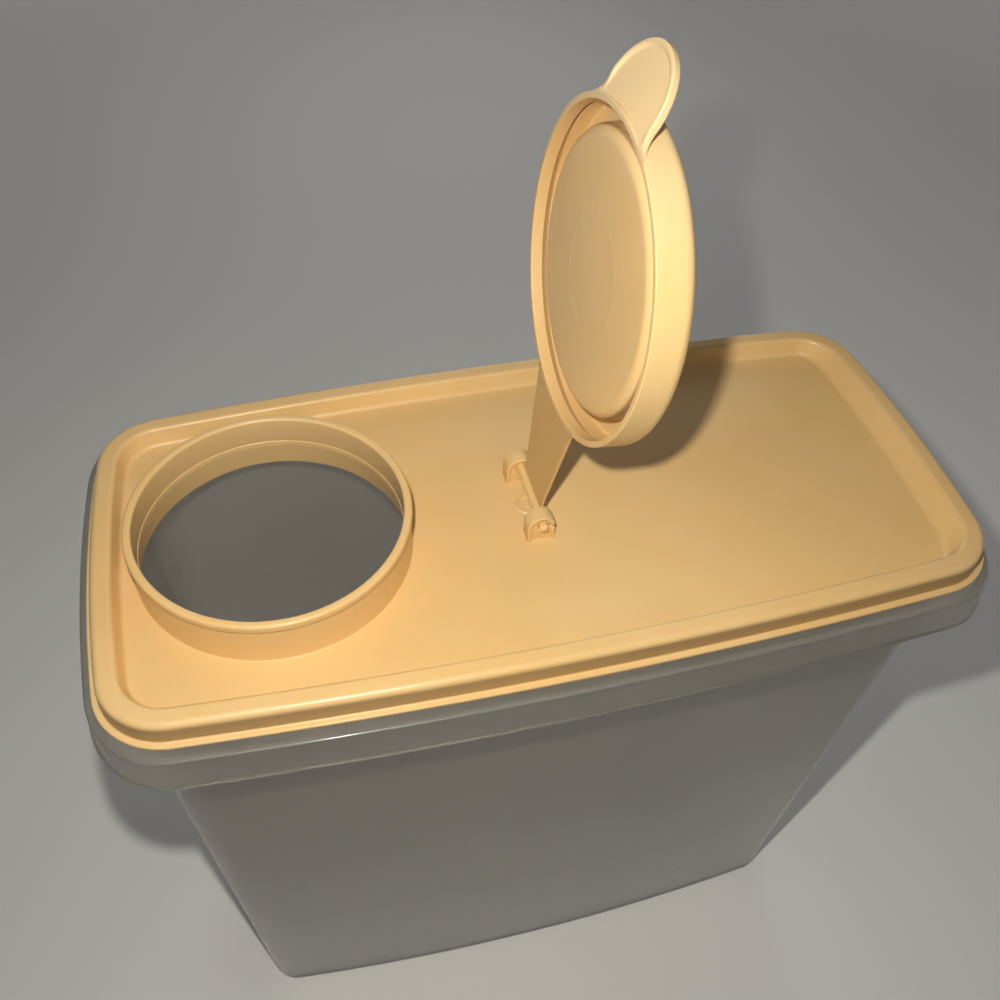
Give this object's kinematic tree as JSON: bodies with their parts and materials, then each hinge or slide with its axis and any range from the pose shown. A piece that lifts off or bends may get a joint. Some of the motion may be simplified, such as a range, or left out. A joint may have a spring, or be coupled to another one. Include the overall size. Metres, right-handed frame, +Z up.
{
  "type": "food storage container",
  "caption": "Tall rectangular dry-food keeper with a frosted translucent body, a press-on lid with a round pour collar at one end, and a pin-hinged flip cap standing open.",
  "frame": {"origin": "middle of the container's outline, on the plane that its base stands on", "axes": "+Z up; +X along the length, from the pour collar's end to the plain end; +Y across to the back"},
  "size_m": [0.2478, 0.1234, 0.3308],
  "materials": {
    "container_plastic": "frosted translucent, satin",
    "lid_plastic": "almond, satin",
    "cap_plastic": "almond, satin"
  },
  "bodies": {
    "container": {"container": "container_plastic"},
    "lid": {"lid": "lid_plastic"},
    "flip_cap": {"flip_cap": "cap_plastic"}
  },
  "joints": [
    {"name": "lid_lift", "type": "slide", "parent": "container", "child": "lid", "axis": [0, 0, 1], "range_m": [0, 0.06]},
    {"name": "cap_hinge", "type": "hinge", "parent": "lid", "child": "flip_cap", "pos_m": [-0.0014, 0, 0.2102], "axis": [0, 1, 0], "range_deg": [-96.1, 68.9]}
  ]
}
